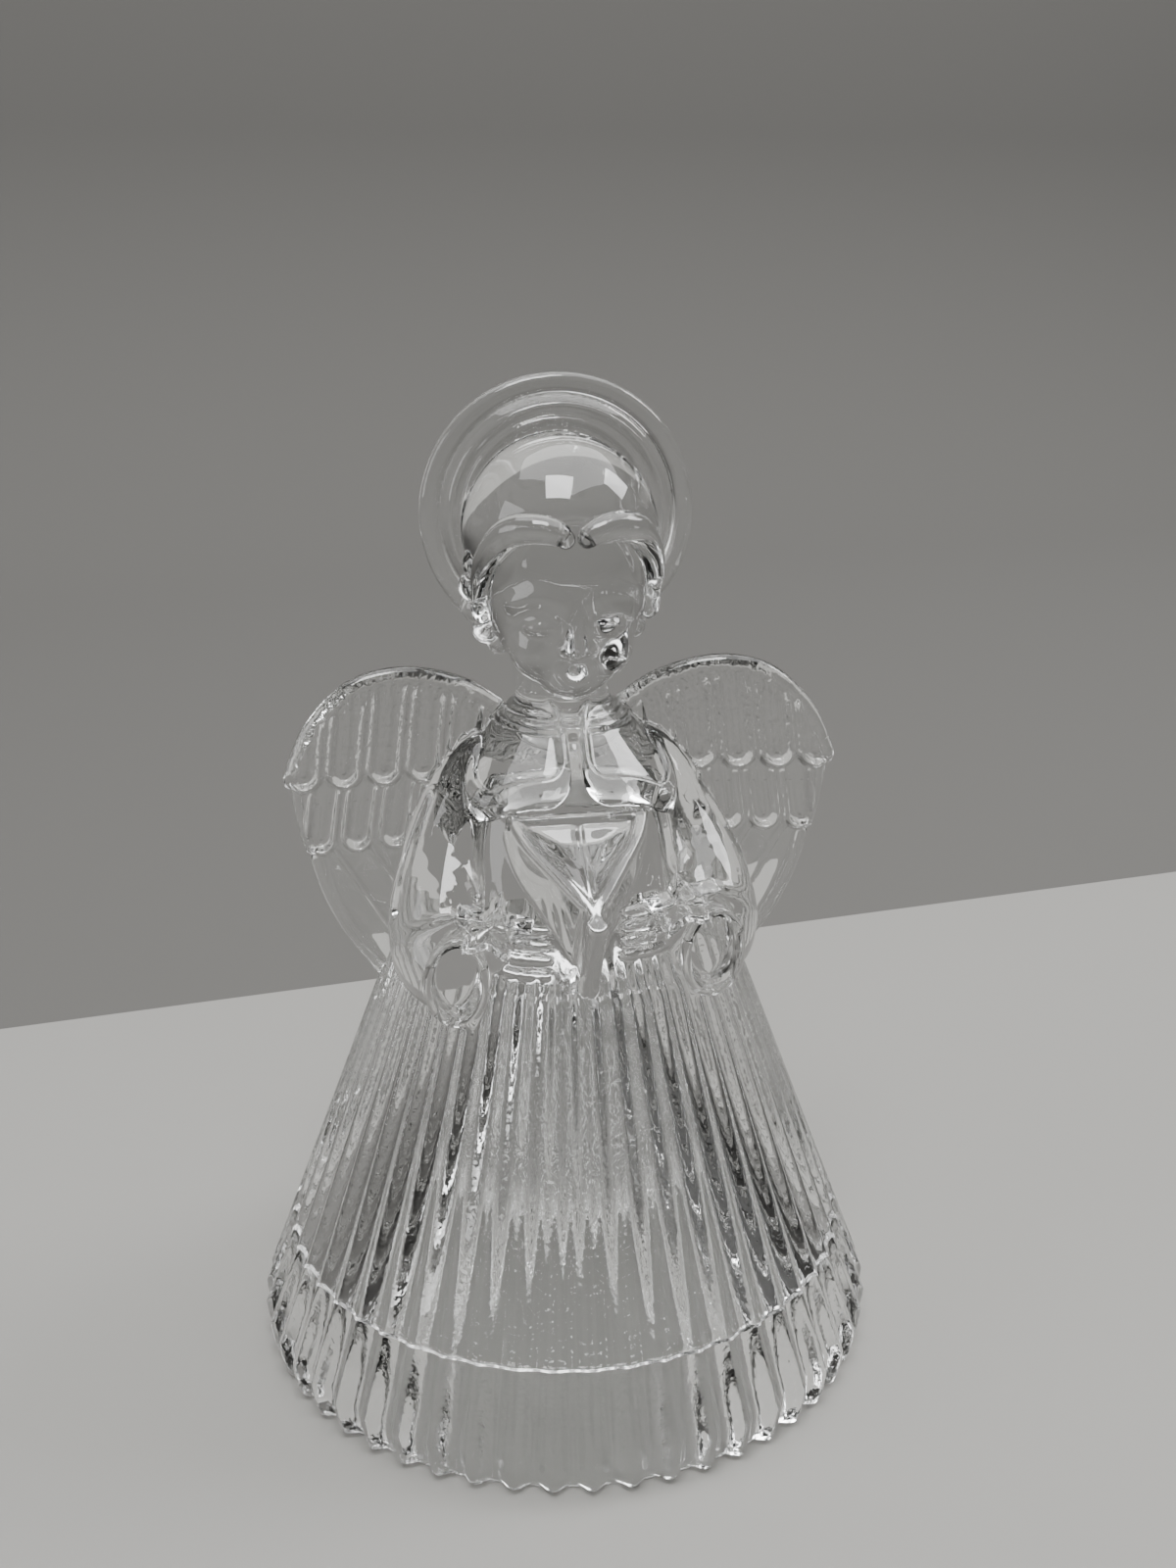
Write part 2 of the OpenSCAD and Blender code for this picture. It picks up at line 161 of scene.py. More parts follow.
def glass(name, wave_depth, grain_depth=0.0, grain_size=1.0):
    """Clear pressed glass. The mould leaves slow waves, and a finer grain where it was chased."""
    material = principled(name, Base_Color=(0.995, 1.0, 0.997, 1), Roughness=0.015, IOR=1.52,
                          Transmission_Weight=1.0)
    tree = material.node_tree
    place = tree.nodes.new("ShaderNodeTexCoord")
    normal = None
    for size, depth in ((WAVE_SIZE, wave_depth), (grain_size, grain_depth)):
        if depth == 0:
            continue
        noise = tree.nodes.new("ShaderNodeTexNoise")
        noise.inputs["Scale"].default_value = 1 / (size * MM)
        noise.inputs["Detail"].default_value = 1.5
        bump = tree.nodes.new("ShaderNodeBump")
        bump.inputs["Strength"].default_value = 1.0
        bump.inputs["Distance"].default_value = depth * MM
        tree.links.new(place.outputs["Object"], noise.inputs["Vector"])
        tree.links.new(noise.outputs["Fac"], bump.inputs["Height"])
        if normal:
            tree.links.new(normal, bump.inputs["Normal"])
        normal = bump.outputs["Normal"]
    tree.links.new(normal, tree.nodes["Principled BSDF"].inputs["Normal"])
    return material


def clear_joint():
    """The face where two forms of the one pressing meet: light passes straight through it."""
    return principled("fused_joint", Alpha=0.0)


# ---- distances: every form is a signed distance, negative inside ----

def smooth_min(a, b, soft):
    overlap = np.maximum(soft - np.abs(a - b), 0) / soft
    return np.minimum(a, b) - overlap * overlap * soft / 4


def smooth_max(a, b, soft):
    return -smooth_min(-a, -b, soft)


def smooth_step(value, start, end):
    t = np.clip((value - start) / (end - start), 0, 1)
    return t * t * (3 - 2 * t)


def bump_line(value, at, width):
    """A rounded ridge profile of height 1 along value == at."""
    return np.exp(-((value - at) / width) ** 2)


def curve(points, steps):
    """A smooth curve through the rows of points, with that many steps between neighbours."""
    rows = np.asarray(points, float)
    rows = np.vstack([2 * rows[0] - rows[1], rows, 2 * rows[-1] - rows[-2]])
    out = []
    for a, b, c, d in zip(rows, rows[1:], rows[2:], rows[3:]):
        for t in np.arange(steps) / steps:
            out.append(b + (t * (c - a) + t * t * (2 * a - 5 * b + 4 * c - d)
                            + t ** 3 * (3 * (b - c) + d - a)) / 2)
    out.append(rows[-2])
    return np.array(out)


def ellipse(u, v, half_u, half_v):
    near = np.sqrt((u / half_u) ** 2 + (v / half_v) ** 2 + 1e-8)
    steep = np.sqrt((u / half_u ** 2) ** 2 + (v / half_v ** 2) ** 2 + 1e-12)
    return near * (near - 1) / steep


def ellipsoid(x, y, z, at, half):
    u, v, w = (x - at[0]) / half[0], (y - at[1]) / half[1], (z - at[2]) / half[2]
    near = np.sqrt(u * u + v * v + w * w + 1e-8)
    steep = np.sqrt((u / half[0]) ** 2 + (v / half[1]) ** 2 + (w / half[2]) ** 2 + 1e-12)
    return near * (near - 1) / steep


def string(x, y, z, stations, steps, soft):
    """Ellipsoids melted together along a curve. A station is a center and three half sizes."""
    distance = AIR
    for row in curve(stations, steps):
        distance = smooth_min(distance, ellipsoid(x, y, z, row[:3], row[3:]), soft)
    return distance


def tube(x, y, z, stations, steps=4):
    """A round tube along a curve. A station is a point and a radius."""
    distance = AIR
    rows = curve(stations, steps)
    for a, b in zip(rows, rows[1:]):
        along = b - a
        span = along[:3] @ along[:3]
        u, v, w = x - a[0], y - a[1], z - a[2]
        t = np.clip((u * along[0] + v * along[1] + w * along[2]) / span, 0, 1)
        gap = np.sqrt((u - t * along[0]) ** 2 + (v - t * along[1]) ** 2 + (w - t * along[2]) ** 2)
        distance = np.minimum(distance, gap - a[3] - t * along[3])
    return distance


def outline(u, v, points):
    """Signed distance to a closed flat outline."""
    nearest = np.full(np.broadcast(u, v).shape, 1e9)
    inside = np.zeros(nearest.shape, bool)
    for (au, av), (bu, bv) in zip(points, np.roll(points, -1, axis=0)):
        du, dv = bu - au, bv - av
        pu, pv = u - au, v - av
        t = np.clip((pu * du + pv * dv) / (du * du + dv * dv), 0, 1)
        nearest = np.minimum(nearest, (pu - t * du) ** 2 + (pv - t * dv) ** 2)
        crosses = (av <= v) != (bv <= v)
        inside ^= crosses & ((du * pv > dv * pu) == (dv > 0))
    return np.where(inside, -1, 1) * np.sqrt(nearest)


def leaning(y, z, at, degrees):
    """Coordinates in a frame at a point, leaning back about the X axis."""
    c, s = math.cos(math.radians(degrees)), math.sin(math.radians(degrees))
    return c * (y - at[1]) + s * (z - at[2]), -s * (y - at[1]) + c * (z - at[2])


# ---- the block of glass ----

class Glass:
    """Forms melted together on a grid. Each point keeps the node it belongs to, and how much
    nearer that node is than the next one."""

    def __init__(self, low, high, step):
        self.step = step
        self.low = np.array(low, float)
        counts = np.ceil((np.array(high) - self.low) / step).astype(int) + 1
        self.axes = [self.low[i] + step * np.arange(counts[i]) for i in range(3)]
        self.field = np.full(counts, AIR, np.float32)
        self.nearest = np.full(counts, AIR, np.float32)
        self.second = np.full(counts, AIR, np.float32)
        self.owner = np.zeros(counts, np.uint8)
        self.names = ["air"]

    def window(self, low, high):
        """The part of the grid inside a box: its slices, and its coordinates."""
        cuts = tuple(slice(*np.searchsorted(axis, (low[i], high[i])))
                     for i, axis in enumerate(self.axes))
        rows = [axis[cut].astype(np.float32) for axis, cut in zip(self.axes, cuts)]
        return cuts, np.meshgrid(*rows, indexing="ij", sparse=True)

    def add(self, node, form, soft, side=RIGHT, margin=4.0):
        """Melts a node's form into the block, with a fillet about soft wide."""
        low, high = box(node)
        cuts, (x, y, z) = self.window(low - margin, high + margin)
        distance = form(side * x, y, z).astype(np.float32)
        self.field[cuts] = smooth_min(self.field[cuts], distance, soft)
        nearest = self.nearest[cuts]
        closer = distance < nearest
        self.second[cuts] = np.where(closer, nearest, np.minimum(self.second[cuts], distance))
        self.nearest[cuts] = np.minimum(nearest, distance)
        self.owner[cuts][closer] = len(self.names)
        self.names.append(node)

    def carve(self, low, high, form, soft, side=RIGHT):
        """Cuts a form out of the block inside a box."""
        low, high = np.array(low, float), np.array(high, float)
        if side == LEFT:
            low[0], high[0] = -high[0], -low[0]
        cuts, (x, y, z) = self.window(low, high)
        self.field[cuts] = smooth_max(self.field[cuts], -form(side * x, y, z), soft)

    def sample(self, points):
        """The field at any points, and its gradient."""
        def at(where):
            place = (where - self.low) / self.step
            cell = np.clip(np.floor(place).astype(int), 0, np.array(self.field.shape) - 2)
            part = place - cell
            total = 0
            for corner in np.ndindex(2, 2, 2):
                weight = np.prod(np.where(corner, part, 1 - part), axis=1)
                index = cell + corner
                total = total + weight * self.field[index[:, 0], index[:, 1], index[:, 2]]
            return total
        reach = 0.6 * self.step
        slope = np.stack([(at(points + step) - at(points - step)) / (2 * reach)
                          for step in reach * np.eye(3)], axis=1)
        return at(points), slope

    def crossings(self, label, margin, axis):
        """The grid edges along one axis whose ends have different labels. For each edge it returns
        the four cells around it, where the surface crosses it, its labels, and if it meets air."""
        cells = np.array(label.shape) - 1
        first = [slice(1, -1)] * 3
        last = [slice(1, -1)] * 3
        first[axis], last[axis] = slice(0, -1), slice(1, None)
        a, b = label[tuple(first)], label[tuple(last)]
        start = np.argwhere(a != b)
        a, b = a[tuple(start.T)], b[tuple(start.T)]
        start += np.array([0 if i == axis else 1 for i in range(3)])
        end = start + np.eye(3, dtype=int)[axis]
        meets_air = (a == 0) | (b == 0)
        fa, fb = self.field[tuple(start.T)], self.field[tuple(end.T)]
        ma, mb = margin[tuple(start.T)], margin[tuple(end.T)]
        t = np.where(meets_air, np.abs(fa) / np.maximum(np.abs(fa) + np.abs(fb), 1e-6),
                     ma / np.maximum(ma + mb, 1e-6))
        crossing = start.astype(float)
        crossing[:, axis] += t
        around = []
        for du, dv in ((-1, -1), (0, -1), (0, 0), (-1, 0)):
            shift = np.zeros(3, int)
            shift[(axis + 1) % 3], shift[(axis + 2) % 3] = du, dv
            cell = start + shift
            around.append((cell[:, 0] * cells[1] + cell[:, 1]) * cells[2] + cell[:, 2])
        return np.stack(around, axis=1), crossing, np.stack([a, b], axis=1), meets_air

    def surface(self, floor_z):
        """Meshes every node at once. Returns points, normals, the corners of each face, the nodes on
        its two sides (0 for air), and which points lie in the cut across the skirt at floor_z."""
        label = np.where(self.field < 0, self.owner, 0)
        label[:, :, 0] = 0
        margin = self.second - self.nearest
        found = [self.crossings(label, margin, axis) for axis in range(3)]
        corners, edges, marks, meets_air = (np.concatenate(parts) for parts in zip(*found))
        used, index = np.unique(corners.ravel(), return_inverse=True)
        count = np.bincount(index)
        crossing = np.repeat(edges, 4, axis=0)
        points = np.stack([np.bincount(index, crossing[:, i]) / count for i in range(3)], axis=1)
        points = self.low + self.step * points
        outer = np.bincount(index, np.repeat(meets_air, 4)) > 0
        bottom = used % (label.shape[2] - 1) == 0
        points[bottom, 2] = floor_z
        points, normals = self.settle(points, outer, bottom)
        return points, normals, index.reshape(corners.shape), marks, bottom

    def settle(self, points, outer, bottom):
        """Moves the outer points onto the surface, and gives each its normal."""
        for _ in range(3):
            value, slope = self.sample(points[outer])
            slope[bottom[outer], 2] = 0
            step = value / np.maximum((slope ** 2).sum(1), 0.05)
            step = np.clip(step, -0.6 * self.step, 0.6 * self.step)
            points[outer] -= step[:, None] * slope
        normals = np.zeros_like(points)
        normals[outer] = self.sample(points[outer])[1]
        normals[~outer, 2] = 1
        size = np.linalg.norm(normals, axis=1, keepdims=True)
        return points, normals / np.maximum(size, 1e-9)


# ---- skirt ----

RIBS = 52
POINTS_PER_RIB = 12
CREASE = math.cos(math.radians(35))
GROOVE = 1.8
FOOT_Z = box("foot_ring")[1][2]
HEM_Z = box("hem")[1][2]
SKIRT_Z = box("skirt")[1][2]
SKIRT_R = box("hem")[1][0]
WIDEST_Z = 6.0
TUCK = 1.6
WAIST_R = 22.6
SPLIT_Z = 50.0
RECESS_R, RECESS_TOP_R = 38.2, 36.4
HOLLOW_R, HOLLOW_TOP_R, HOLLOW_TOP_Z = 35.5, 9.0, 56.0
DOME_Z = HOLLOW_TOP_Z - 3
# A level distance times one of these is the distance square to the leaning wall.
SKIRT_LEAN, HOLLOW_LEAN, GOWN_LEAN = 0.93, 0.82, 0.9


def skirt_radius(z):
    """The radius at the ribs' tips: widest just above the foot, then a straight cone."""
    cone = SKIRT_R - (SKIRT_R - WAIST_R) * (z - WIDEST_Z) / (SKIRT_Z - WIDEST_Z)
    return np.where(z < WIDEST_Z, SKIRT_R - TUCK * (1 - z / WIDEST_Z) ** 2, cone)


def groove(angle, radius):
    """How far the surface dips below the tips of the rounded ribs."""
    return GROOVE * radius / SKIRT_R * (1 + np.cos(angle * RIBS)) / 2


def ring_angles():
    return np.linspace(0, 2 * math.pi, RIBS * POINTS_PER_RIB, endpoint=False)


def ribbed_ring(z):
    angle = ring_angles()
    radius = skirt_radius(z)
    radius = radius - groove(angle, radius)
    return np.stack([radius * np.cos(angle), radius * np.sin(angle), np.full_like(angle, z)], axis=1)


def plain_ring(radius, z):
    angle = ring_angles()
    return np.stack([radius * np.cos(angle), radius * np.sin(angle), np.full_like(angle, z)], axis=1)


def lathe(bands):
    """A closed skin over rings. A band is a ring and whether the faces after it are a joint.
    Returns points, faces, joints, and a normal for each face corner, sharp at creases."""
    rings = np.array([ring for ring, _ in bands])
    count, n = rings.shape[:2]
    here, up = np.arange(n), np.roll(np.arange(count), -1)
    after = (here + 1) % n
    faces = np.stack([np.stack([k * n + here, k * n + after, up[k] * n + after, up[k] * n + here],
                               axis=1) for k in range(count)])
    joints = np.array([joint for _, joint in bands])
    corner = rings.reshape(-1, 3)[faces]
    flat = np.cross(corner[:, :, 2] - corner[:, :, 0], corner[:, :, 3] - corner[:, :, 1])
    size = np.linalg.norm(flat, axis=2, keepdims=True)
    weight = np.where(joints[:, None, None], 0, size)
    flat = flat / np.maximum(size, 1e-9)
    normals = np.zeros(faces.shape + (3,))
    for c, (band, column) in enumerate(((0, 0), (0, 1), (1, 1), (1, 0))):
        for near_band in (band - 1, band):
            for near_column in (column - 1, column):
                other = np.roll(flat, (-near_band, -near_column), axis=(0, 1))
                share = np.roll(weight, (-near_band, -near_column), axis=(0, 1))
                alike = (other * flat).sum(axis=2, keepdims=True) > CREASE
                normals[:, :, c] += other * share * alike
    normals += 1e-9 * flat[:, :, None]
    normals /= np.linalg.norm(normals, axis=3, keepdims=True)
    return rings.reshape(-1, 3), faces.reshape(-1, 4), np.repeat(joints, n), normals.reshape(-1, 4, 3)


def foot_bands():
    """The ring that the figure stands on, with its lower edges rounded."""
    outer = box("foot_ring")[1][0]
    inner = RECESS_R
    return [(plain_ring(inner, FOOT_Z), False), (plain_ring(inner + 0.15, 0.2), False),
            (plain_ring(inner + 0.4, 0.0), False), (plain_ring(outer - 0.4, 0.0), False),
            (plain_ring(outer - 0.15, 0.2), False), (plain_ring(outer, FOOT_Z), True)]


def recess_radius(z):
    return RECESS_TOP_R + (RECESS_R - RECESS_TOP_R) * (HEM_Z - z) / (HEM_Z - FOOT_Z)


def hem_bands():
    """The ribbed hem round the recess."""
    foot_r = box("foot_ring")[1][0]
    heights = [FOOT_Z, 1.5, 2, 3, 4, 5, 6, 8, 10, 12.5, HEM_Z]
    outer = [(ribbed_ring(z), z == HEM_Z) for z in heights]
    inner = [(plain_ring(recess_radius(z), z), False) for z in (HEM_Z, 12, 8, 4)]
    return outer + inner + [(plain_ring(RECESS_R, FOOT_Z), True), (plain_ring(foot_r, FOOT_Z), False)]


def hollow_radius(z):
    return HOLLOW_R + (HOLLOW_TOP_R - HOLLOW_R) * (z - HEM_Z) / (DOME_Z - HEM_Z)


def skirt_bands():
    """The skirt up to the cut, with a small rounded edge where the hollow meets the ledge."""
    heights = np.linspace(HEM_Z, SPLIT_Z, 9)
    outer = [(ribbed_ring(z), z == SPLIT_Z) for z in heights]
    inner = [(plain_ring(hollow_radius(z), z), False) for z in heights[::-1]]
    inner[-1] = (plain_ring(HOLLOW_R + 0.2, HEM_Z), False)
    inner.insert(-1, (plain_ring(HOLLOW_R - 0.1, HEM_Z + 0.25), False))
    return outer + inner + [(plain_ring(RECESS_TOP_R, HEM_Z), True)]


def skirt_top(x, y, z):
    radius = skirt_radius(z)
    distance = np.sqrt(x * x + y * y) - radius + groove(np.arctan2(y, x), radius)
    return smooth_max(SKIRT_LEAN * distance, z - SKIRT_Z, 1.0)


def hollow(x, y, z):
    """The top of the hollow under the skirt, which ends in a low dome."""
    across = np.sqrt(x * x + y * y)
    dome = ellipse(across, z - DOME_Z, HOLLOW_TOP_R, HOLLOW_TOP_Z - DOME_Z)
    cone = HOLLOW_LEAN * (across - hollow_radius(z))
    return np.where(z > DOME_Z, dome, cone)


# ---- gown ----

GOWN = curve([[58, 22.2, 22.0], [61, 21, 20.4], [64, 19.8, 18.6], [67, 18.5, 16.9], [70, 17.2, 15.2],
              [73, 16, 13.9], [76, 14.8, 12.6], [80, 13.4, 11.2], [84, 12, 10], [87.4, 10.6, 9.2]], 6)
COLLAR_TOP = (7.6, 89.0)
COLLAR_EDGE = (14.2, 82.6)
COLLAR_T = 1.7


def collar_cone(x, y, z):
    """Height above the cone on which the cape lies, square to it."""
    run, drop = COLLAR_EDGE[0] - COLLAR_TOP[0], COLLAR_TOP[1] - COLLAR_EDGE[1]
    size = math.hypot(run, drop)
    across = np.sqrt(x * x + y * y)
    return ((across - COLLAR_TOP[0]) * drop + (z - COLLAR_TOP[1]) * run) / size


def bodice(x, y, z):
    """The gown from the waist to the collar. The skirt's ribs fade out on its lower part."""
    half_w = np.interp(z, GOWN[:, 0], GOWN[:, 1])
    half_d = np.interp(z, GOWN[:, 0], GOWN[:, 2])
    angle = np.arctan2(y, x)
    fade = smooth_step(z, 67, 58)
    distance = (np.sqrt((x / half_w) ** 2 + (y / half_d) ** 2) - 1) * np.sqrt(half_w * half_d)
    distance = GOWN_LEAN * (distance + fade * groove(angle, half_w))
    distance = smooth_max(distance, collar_cone(x, y, z) + COLLAR_T / 2, 0.8)
    return smooth_max(distance, SKIRT_Z - 0.5 - z, 0.5)


def neck(x, y, z):
    radius = box("neck")[1][0]
    across = np.sqrt(x * x + y * y)
    return np.maximum(across - radius + 0.03 * (z - 90), np.abs(z - 91.5) - 4.5)


def collar_band(x, y, z):
    """A rolled band round the neck, with a groove between its two rounds."""
    low, high = box("collar_band")
    upper_r, lower_r = 0.6, 1.25
    across = np.sqrt(x * x + y * y) - (high[0] - 1.3)
    upper = np.sqrt((across + 0.55) ** 2 + (z - high[2] + 0.7) ** 2) - upper_r
    lower = np.sqrt((across - 0.15) ** 2 + (z - low[2] - 0.55) ** 2) - lower_r
    return smooth_min(upper, lower, 0.3)


COLLAR_PLAN = np.array([[3.5, -11.2], [9.8, -9.6], [12.8, -0.8], [12.2, 0.6], [6, 6.5], [3.4, 2]])


def collar(x, y, z):
    """A lobe of the cape: a curved plate with a raised rim."""
    plan = outline(x, y, COLLAR_PLAN)
    plan = plan - 1.2 - 1.8 * smooth_step(y, -3, -9)
    plan = smooth_max(plan, 0.45 - x, 0.6)
    lift = collar_cone(x, y, z)
    top = 0.5 * bump_line(plan, -0.8, 0.5) + 0.1
    slab = np.maximum(lift - top, -lift - COLLAR_T)
    return smooth_max(slab, plan, 0.5)


# ---- sleeves, cuffs, stars and hands ----

SLEEVE = [[9.5, -0.5, 82, 5, 5.4, 4.6], [11.4, -1.2, 79.6, 5.2, 5.8, 4.6],
          [13.2, -2, 76.6, 5.3, 6.2, 4.8], [14.4, -3, 73.4, 5.8, 6.8, 4.8],
          [15.3, -4.6, 70.2, 6.2, 7.6, 5], [16.2, -6.6, 66.6, 6.8, 8.4, 5.2],
          [16.5, -8.6, 63, 6.9, 9, 5.4], [16.5, -10.2, 60.8, 6.6, 9, 5.6], [16, -11.6, 59.2, 6, 8.4, 5]]
CUFF = np.array([16.0, -19.2, 60.2])
ARM_LIFT = 2.0
CUFF_HALF_W, CUFF_HALF_H, CUFF_LEAN, CUFF_RIM = 3.3, 5.8, 10, 0.8


def raised(form):
    """The right arm is held a little higher than the left."""
    def lifted(x, y, z):
        return form(x, y, z - ARM_LIFT * smooth_step(z, 80, 68))
    return lifted


def sleeve(x, y, z):
    """A bell sleeve with a rolled mouth, a fold down its front and a dent along its outside."""
    body = string(x, y, z, SLEEVE, 2, 1.2)
    mouth = tube(x, y, z, [[11.6, -18.8, 68.8, 0.6], [14.6, -18.2, 68.2, 0.8], [18.4, -15.8, 65.6, 0.85],
                           [21.2, -12.2, 62.4, 0.8], [21.6, -10.5, 59, 0.7]])
    front = tube(x, y, z, [[11.2, -6.4, 80.4, 0.5], [12.4, -8.4, 76.6, 0.6], [13.2, -11.2, 71.8, 0.7],
                           [12.6, -15, 69.6, 0.6]])
    folds = smooth_min(mouth, front, 0.5)
    dent = tube(x, y, z, [[17.6, -3.5, 79, 0.6], [20, -6, 73, 0.9], [22.4, -9, 66.5, 1.1]])
    return smooth_max(smooth_min(body, folds, 1.8), -dent, 1.4)


def cuff_oval(x, y, z):
    out, up = leaning(y, z, CUFF, CUFF_LEAN)
    return ellipse(x - CUFF[0], up, CUFF_HALF_W, CUFF_HALF_H), out, up


def cuff(x, y, z):
    """The rim of the inner sleeve, and a small fold of cloth inside it."""
    oval, out, up = cuff_oval(x, y, z)
    rim = np.sqrt(oval ** 2 + out ** 2) - CUFF_RIM
    fold = ellipse(x - CUFF[0] + 0.9, up + 1.6, 1.3, 2.3)
    return smooth_min(rim, np.sqrt(fold ** 2 + (out - 2.2) ** 2) - 0.45, 0.3)


def cuff_pocket(x, y, z):
    """The hollow inside the cuff's rim."""
    oval, out, _ = cuff_oval(x, y, z)
    return smooth_max(oval + 0.5, out - 2.6, 0.5)


STAR_TURN, STAR_LEAN, STAR_TILT = 12, 18, 14


def star_outline():
    point, notch = 4.7, 2.1
    angle = math.pi / 2 + math.pi / 5 * np.arange(10)
    radius = np.where(np.arange(10) % 2 == 0, point, notch)
    return np.stack([radius * np.cos(angle), radius * np.sin(angle)], axis=1)


def star(x, y, z):
    """A flat five-pointed star that leans back against the mouth of the sleeve."""
    at = center("star_right")
    turn, tilt = math.radians(STAR_TURN), math.radians(STAR_TILT)
    u = math.cos(turn) * (x - at[0]) + math.sin(turn) * (y - at[1])
    depth = -math.sin(turn) * (x - at[0]) + math.cos(turn) * (y - at[1])
    out, up = leaning(depth, z, (0, 0, at[2]), STAR_LEAN)
    u, v = math.cos(tilt) * u + math.sin(tilt) * up, -math.sin(tilt) * u + math.cos(tilt) * up
    edge = outline(u, v, star_outline()) - 0.25
    return smooth_max(edge, np.abs(out + 1.0) - 1.5, 0.25)


FINGERS = 4
FINGER_STEP = 1.9
KNUCKLE, FINGERTIP = np.array([10.6, -16.2, 60.9]), np.array([4.9, -19.4, 60.6])


def hand(x, y, z):
    """The back of a hand and four fingers laid one above another on the book's cover."""
    distance = ellipsoid(x, y, z, (10.8, -15.6, 63.2), (2.6, 2.6, 4.0))
    for i in range(FINGERS):
        lift = np.array([0, 0, FINGER_STEP * i])
        bend = (KNUCKLE + FINGERTIP) / 2 + lift + [0.3, -0.7, 0]
        finger = tube(x, y, z, [[*(KNUCKLE + lift), 1.0], [*bend, 0.95], [*(FINGERTIP + lift), 0.75]], 3)
        distance = smooth_min(distance, finger, 0.2)
    return distance


# ---- book ----

BOOK_FOOT, BOOK_LEAN = np.array([0, -20.9, 58.7]), 30
BOOK_HALF_W, BOOK_DEPTH, BOOK_LEN = 9.5, 15.9, 13.7
COVER_T, SPINE_R = 1.6, 1.3
HINGE_AT, HINGE_DEPTH, PAGE_DISH, CREASE_DEPTH = 2.6, 0.3, 0.6, 0.25


def book_plan(x, y, z):
    """Distance to the wedge of the open book in its own leaning frame, and the height in it."""
    back, up = leaning(y, z, BOOK_FOOT, BOOK_LEAN)
    size = math.hypot(BOOK_DEPTH, BOOK_HALF_W)
    face = (BOOK_DEPTH * np.abs(x) - BOOK_HALF_W * back) / size
    plan = smooth_max(face, np.abs(x) - BOOK_HALF_W + 0.3, 2.6)
    return plan, back, up


def book_pages(x, y, z):
    """The block of pages: its top has a raised rim, two shallow steps down, and a middle crease."""
    plan, back, up = book_plan(x, y, z)
    plan = smooth_max(plan, back - BOOK_DEPTH - 2, 0.5)
    dish = PAGE_DISH * smooth_step(plan, -1.3, -2.1) + PAGE_DISH * smooth_step(plan, -2.1, -5)
    crease = CREASE_DEPTH * bump_line(x, 0, 0.45) * smooth_step(plan, -1.5, -2.5)
    top = smooth_max(up - BOOK_LEN + dish + crease, plan + 0.3, 0.5)
    return smooth_max(top, 0.4 - up, 0.6)


def book_cover(x, y, z):
    """One board of the cover, with a hinge groove beside the spine."""
    plan, back, up = book_plan(x, y, z)
    shell = np.maximum(plan, -plan - COVER_T)
    hinge = HINGE_DEPTH * bump_line(np.hypot(x, back), HINGE_AT, 0.5)
    ends = np.abs(up - BOOK_LEN / 2) - BOOK_LEN / 2 + 0.15
    panel = smooth_max(smooth_max(shell + hinge, ends, 0.7), back - BOOK_DEPTH - 2, 0.5)
    return np.maximum(panel, -x - 1)


def book_spine(x, y, z):
    _, back, up = book_plan(x, y, z)
    ends = np.abs(up - BOOK_LEN / 2) - BOOK_LEN / 2
    return smooth_max(np.sqrt(x ** 2 + back ** 2) - SPINE_R, ends, 0.6)


# ---- head ----

FACE_Y, EYE_X, EYE_Z, MOUTH_Z = -12.0, 4.3, 102.2, 96.8
SKULL = (((0, 0, 110.5), (10.8, 10.8, 10.8)), ((0, -1.2, 106), (9.8, 10.2, 8.8)),
         ((0, -2.6, 102.6), (9, 8.8, 6.8)), ((0, -3.4, 99.8), (7.6, 7.8, 5.8)),
         ((0, -5.4, 96.8), (5, 5.2, 3.4)))


def skull(x, y, z):
    distance = AIR
    for at, half in SKULL:
        distance = smooth_min(distance, ellipsoid(x, y, z, at, half), 2.5)
    return distance


def nose(side, y, z):
    bridge = tube(side, y, z, [[0, FACE_Y + 1.2, 104.2, 0.6], [0, FACE_Y + 0.1, 101.6, 0.8],
                               [0, FACE_Y - 0.5, 99.9, 1.15]], 3)
    nostril = ellipsoid(side, y, z, (0.95, FACE_Y + 0.5, 99.6), (0.75, 0.8, 0.65))
    return smooth_min(bridge, nostril, 0.5)


def closed_eyes(face, side, y, z):
    lid = ellipsoid(side, y, z, (EYE_X - 0.3, FACE_Y + 1.95, EYE_Z), (2.0, 1.5, 1.1))
    crease = tube(side, y, z, [[2.2, FACE_Y + 0.4, 103, 0.2], [4, FACE_Y + 0.1, 103.8, 0.35],
                               [5.9, FACE_Y + 1.1, 103, 0.2]], 3)
    return smooth_max(smooth_min(face, lid, 0.7), -crease, 0.6)


def singing_mouth(face, x, y, z):
    out, up = leaning(y, z, (0, FACE_Y + 1.1, MOUTH_Z), 10)
    lips = np.sqrt((np.sqrt((x / 1.12) ** 2 + up ** 2) - 1.3) ** 2 + out ** 2) - 0.55
    hole = ellipsoid(x, out, up, (0, -0.2, 0), (1.1, 1.5, 0.95))
    return smooth_max(smooth_min(face, lips, 0.9), -hole, 0.4)


